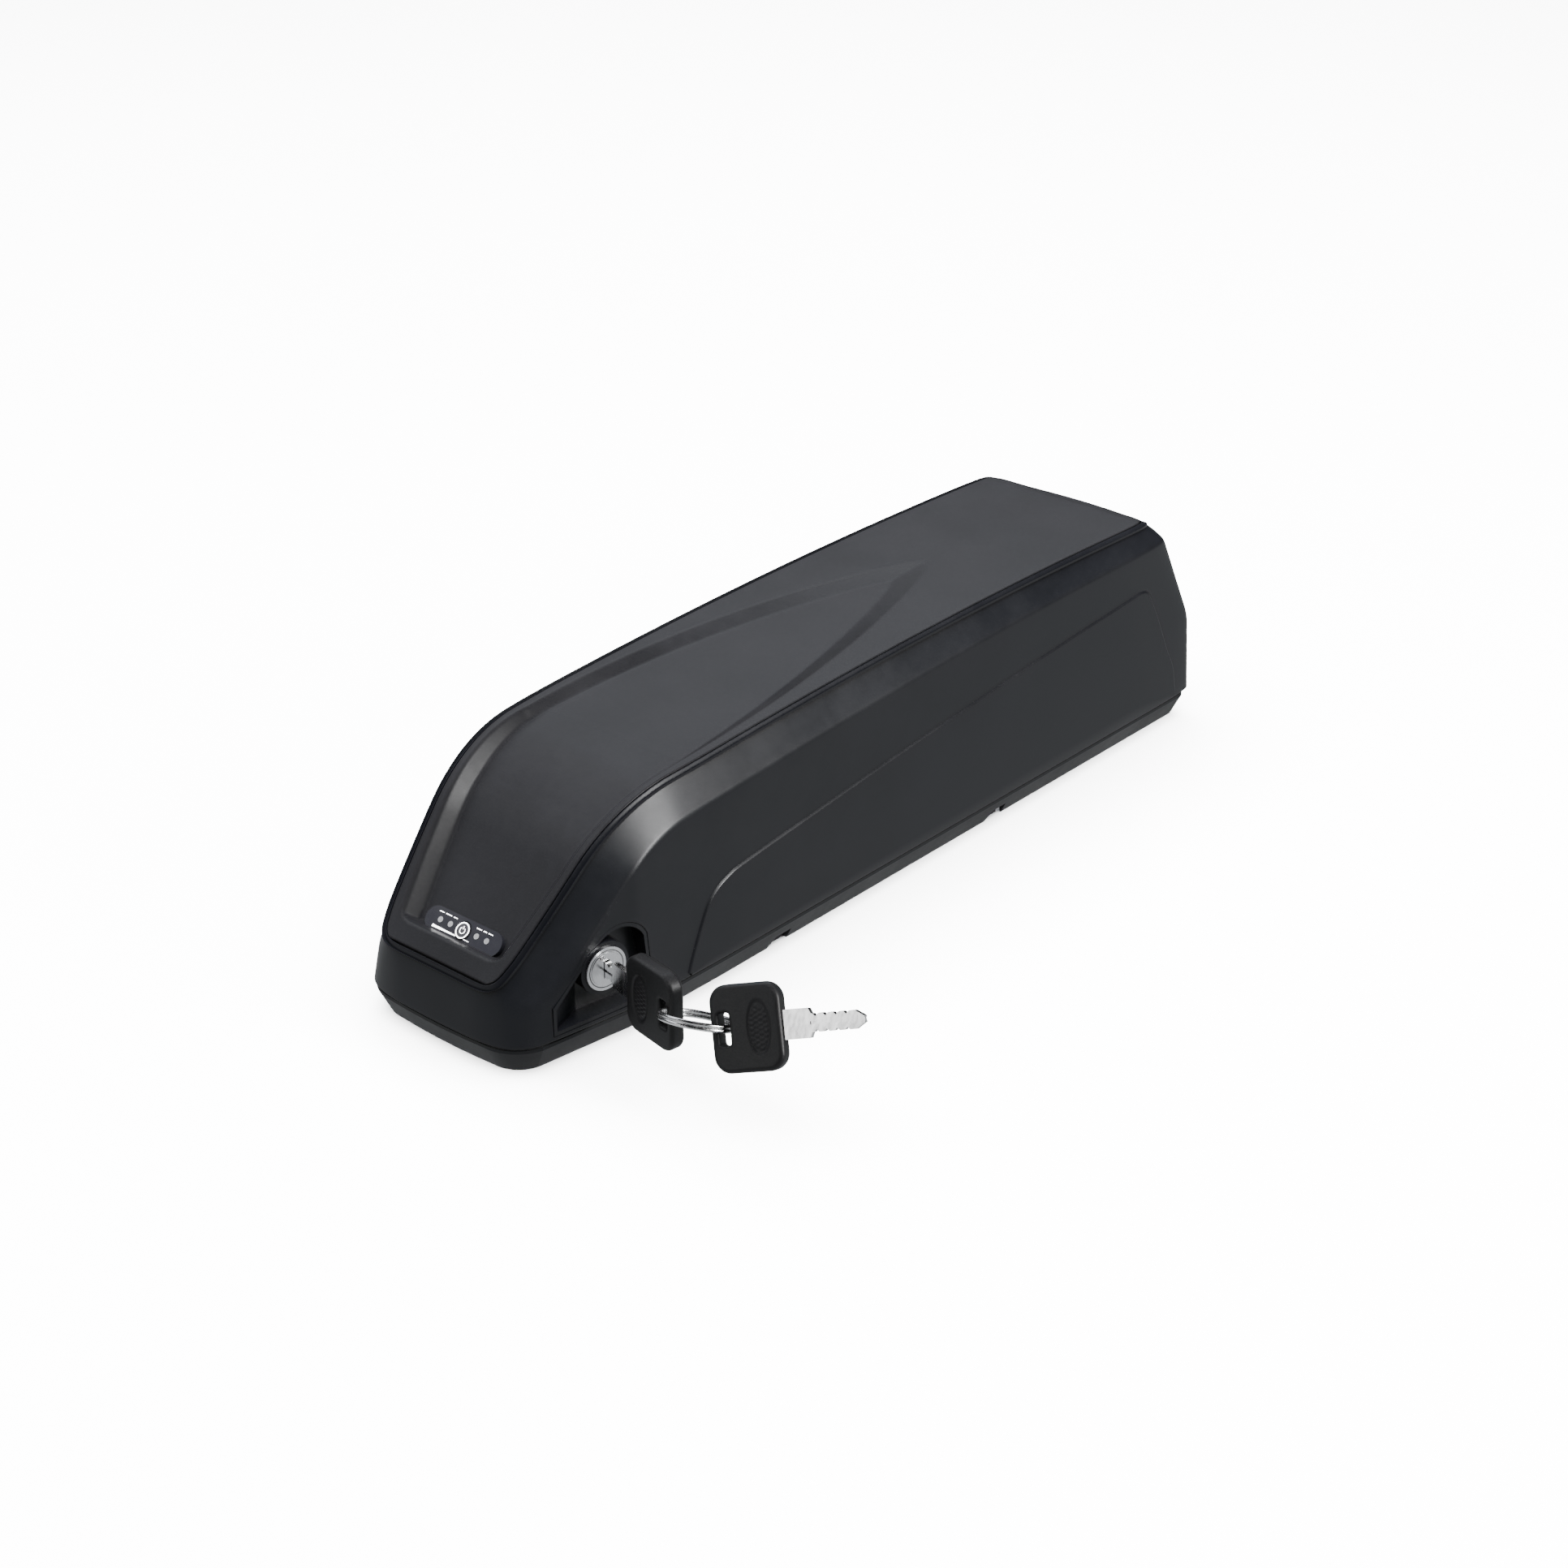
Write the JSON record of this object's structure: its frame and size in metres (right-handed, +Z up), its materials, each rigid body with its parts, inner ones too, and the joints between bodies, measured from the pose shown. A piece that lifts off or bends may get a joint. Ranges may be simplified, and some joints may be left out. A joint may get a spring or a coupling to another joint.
{
  "type": "bicycle battery pack",
  "caption": "Long wedge-nosed battery pack with scooped top cover, side key lock, charge lamps, power button and keys on a ring",
  "frame": {"origin": "middle of the flat underside of the bottom tray", "axes": "+X from the lock and lamp nose to the tail, +Z up, lock and keys on the -Y side"},
  "size_m": [0.367, 0.1861, 0.0887],
  "materials": {
    "case_plastic": "satin, fine moulded grain",
    "cover_plastic": "satin, fine moulded grain",
    "tray_plastic": "matt moulded",
    "gasket_rubber": "matt",
    "lens_plastic": "gloss, smoked",
    "button_plastic": "gloss",
    "lamp_plastic": "frosted",
    "circuit_board": "solder mask",
    "lock_chrome": "satin plated",
    "steel": "plated",
    "key_steel": "nickel plated",
    "key_plastic": "matt moulded",
    "black_parts": "matt",
    "contact_brass": "plated",
    "nickel": "rolled",
    "holder_plastic": "matt",
    "cell_wrap": "shrink sleeve",
    "foam": "closed-cell foam",
    "heat_spreader": "milled",
    "fuse_glass": "ceramic body",
    "lead_insulation": "silicone"
  },
  "bodies": {
    "case": {"bms_board": "circuit_board", "bms_heat_spreader": "heat_spreader", "bms_transistors": "black_parts", "bottom_tray": "tray_plastic", "cap_hinge_pin": "steel", "case_gasket": "gasket_rubber", "case_shell": "case_plastic", "cell_group_01": "cell_wrap", "cell_group_02": "cell_wrap", "cell_group_03": "cell_wrap", "cell_group_04": "cell_wrap", "cell_group_05": "cell_wrap", "cell_group_06": "cell_wrap", "cell_group_07": "cell_wrap", "cell_group_08": "cell_wrap", "cell_group_09": "cell_wrap", "cell_group_10": "cell_wrap", "cell_group_11": "cell_wrap", "cell_group_12": "cell_wrap", "cell_group_13": "cell_wrap", "cell_holder_left": "holder_plastic", "cell_holder_right": "holder_plastic", "charge_jack": "black_parts", "charge_lamps": "lamp_plastic", "charge_pin": "steel", "discharge_contacts": "contact_brass", "discharge_leads": "lead_insulation", "discharge_socket": "black_parts", "foam_pad_bottom": "foam", "foam_pad_top": "foam", "lamp_board": "circuit_board", "lamp_lens": "lens_plastic", "lock_barrel": "lock_chrome", "lock_insert": "case_plastic", "lock_nut": "steel", "main_fuse": "fuse_glass", "nickel_strips_left": "nickel", "nickel_strips_right": "nickel", "tact_switch": "black_parts", "top_cover": "cover_plastic", "tray_screws": "steel"},
    "plug": {"lock_plug": "lock_chrome", "lock_cam": "steel"},
    "key": {"key_blade": "key_steel", "key_bow": "key_plastic"},
    "ring": {"key_ring": "key_steel"},
    "spare_key": {"spare_key_blade": "key_steel", "spare_key_bow": "key_plastic"},
    "bolt": {"lock_bolt": "steel"},
    "button": {"power_button": "button_plastic"},
    "cap": {"charge_cap": "gasket_rubber"}
  },
  "joints": [
    {"name": "key_turn", "type": "hinge", "parent": "case", "child": "plug", "pos_m": [-0.1468, -0.0426, 0.0296], "axis": [0.1736, 0.9848, 0], "range_deg": [0, 90]},
    {"name": "bolt_throw", "type": "slide", "parent": "case", "child": "bolt", "axis": [0, 0, -1], "range_m": [0, 0.0085]},
    {"name": "key_pull", "type": "slide", "parent": "plug", "child": "key", "axis": [-0.1736, -0.9848, 0], "range_m": [0, 0.016]},
    {"name": "ring_swing", "type": "hinge", "parent": "key", "child": "ring", "pos_m": [-0.15251, -0.075, 0.0296], "axis": [0.9848, -0.1736, 0], "range_deg": [-15, 15]},
    {"name": "spare_key_swing", "type": "hinge", "parent": "ring", "child": "spare_key", "pos_m": [-0.15203, -0.09878, 0.03284], "axis": [-0.8988, -0.1856, 0.3971], "range_deg": [-30, 30]},
    {"name": "button_press", "type": "slide", "parent": "case", "child": "button", "axis": [0.7157, 0, -0.6984], "range_m": [0, 0.0008], "stiffness_N_per_m": 800, "springref_m": -0.0005},
    {"name": "cap_swing", "type": "hinge", "parent": "case", "child": "cap", "pos_m": [0.1595, 0.0437, 0.0374], "axis": [1, 0, 0], "range_deg": [0, 100]}
  ],
  "couplings": [
    {"joint": "bolt_throw", "follows": "key_turn", "m_per_rad": 0.005401}
  ]
}
